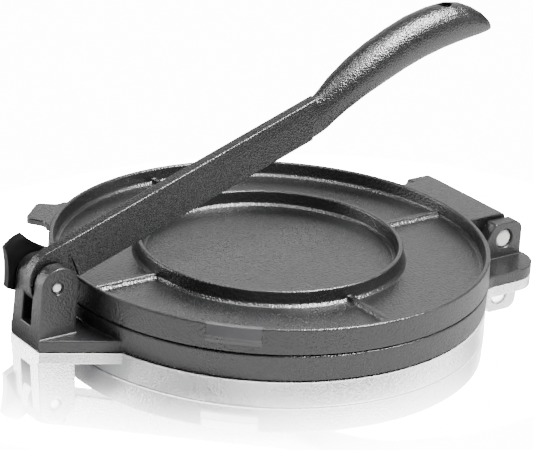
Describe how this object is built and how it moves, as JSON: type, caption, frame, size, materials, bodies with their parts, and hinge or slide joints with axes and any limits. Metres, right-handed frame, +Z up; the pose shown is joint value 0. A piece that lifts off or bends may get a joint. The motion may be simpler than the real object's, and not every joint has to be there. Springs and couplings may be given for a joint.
{
  "type": "tortilla press",
  "caption": "Cast iron tortilla press: two hinged round plates with recessed, ribbed backs and a long pivoting lever with a curved grip that presses the lid down.",
  "frame": {"origin": "centre of the round plates, on the plane of the underside that the press stands on", "axes": "+X towards the plates' hinge, -X towards the lever's pivot, +Y along both pivots towards the clamp knob, +Z up"},
  "size_m": [0.3296, 0.2606, 0.1591],
  "materials": {
    "iron": "fine pebbled casting skin, seasoned dark grey",
    "steel": "bright turned",
    "knob": "black moulded"
  },
  "bodies": {
    "base": {"base_plate": "iron", "hinge_pin": "steel"},
    "lid": {"upper_plate": "iron"},
    "lever_arm": {"lever": "iron"},
    "clamp": {"clamp_knob": "knob", "lever_stud": "steel"}
  },
  "joints": [
    {"name": "lever_swing", "type": "hinge", "parent": "base", "child": "lever_arm", "pos_m": [-0.1521, 0, 0.0351], "axis": [0, -1, 0], "range_deg": [0, 160]},
    {"name": "lid_hinge", "type": "hinge", "parent": "base", "child": "lid", "pos_m": [0.145, 0, 0.0184], "axis": [0, 1, 0], "range_deg": [0, 115]},
    {"name": "knob_turn", "type": "hinge", "parent": "base", "child": "clamp", "pos_m": [-0.1521, 0, 0.0351], "axis": [0, 1, 0], "continuous": true}
  ],
  "couplings": [
    {"joint": "lid_hinge", "follows": "lever_swing", "ratio": 0.165}
  ]
}
